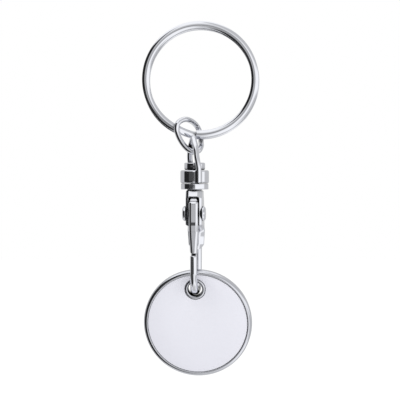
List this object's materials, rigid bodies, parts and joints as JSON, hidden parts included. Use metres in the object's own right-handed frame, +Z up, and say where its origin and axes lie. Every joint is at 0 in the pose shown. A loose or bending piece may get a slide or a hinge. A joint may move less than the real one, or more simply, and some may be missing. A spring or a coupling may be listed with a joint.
{
  "type": "trolley coin keyring",
  "caption": "Metal trolley coin with white faces, hung from a split key ring by a wire link and a swivel trigger clasp.",
  "frame": {"origin": "inner top of the key ring's lower, rear turn, midway in depth between its two turns, where a hook or finger carries it", "axes": "+Z up with the keyring hanging, +X to the right and +Y away from the viewer as the picture sees it"},
  "size_m": [0.0251, 0.0105, 0.076],
  "materials": {
    "nickel_plate": "bright nickel plate on a polished casting or wire",
    "coin_plate": "nickel plate on a stamped coin, slightly softer polish",
    "spring_steel": "plain drawn spring wire",
    "white_lacquer": "glossy white disc, bare"
  },
  "bodies": {
    "root": {"key_ring": "nickel_plate"},
    "link": {"connecting_link": "nickel_plate"},
    "eye": {"swivel_eye": "nickel_plate"},
    "hook": {"hook_body": "nickel_plate", "swivel_pin": "nickel_plate", "pivot_rivet": "nickel_plate", "lever_spring": "spring_steel"},
    "lever": {"trigger_lever": "nickel_plate"},
    "coin": {"coin_body": "coin_plate", "coin_face_front": "white_lacquer", "coin_face_back": "white_lacquer"}
  },
  "joints": [
    {"name": "link_swing", "type": "hinge", "parent": "root", "child": "link", "pos_m": [-0.0026, 0, -0.02213], "axis": [0.9742, 0, -0.2255], "range_deg": [-75, 38]},
    {"name": "eye_swing", "type": "hinge", "parent": "link", "child": "eye", "pos_m": [-0.0015, -0.00207, -0.02603], "axis": [1, 0, 0], "range_deg": [-8, 30]},
    {"name": "swivel_spin", "type": "hinge", "parent": "eye", "child": "hook", "pos_m": [-0.00122, -0.0026, -0.03283], "axis": [0, 0, 1], "continuous": true},
    {"name": "lever_open", "type": "hinge", "parent": "hook", "child": "lever", "pos_m": [-0.00135, -0.00419, -0.03925], "axis": [0.9966, -0.0819, 0], "range_deg": [0, 25], "stiffness_Nm_per_rad": 0.01, "springref_deg": -20.05, "deforming": ["lever_spring"]},
    {"name": "coin_swing", "type": "hinge", "parent": "hook", "child": "coin", "pos_m": [-0.00106, -0.00176, -0.05523], "axis": [0.08, 0.973, 0.2164], "range_deg": [-55, 55]}
  ]
}
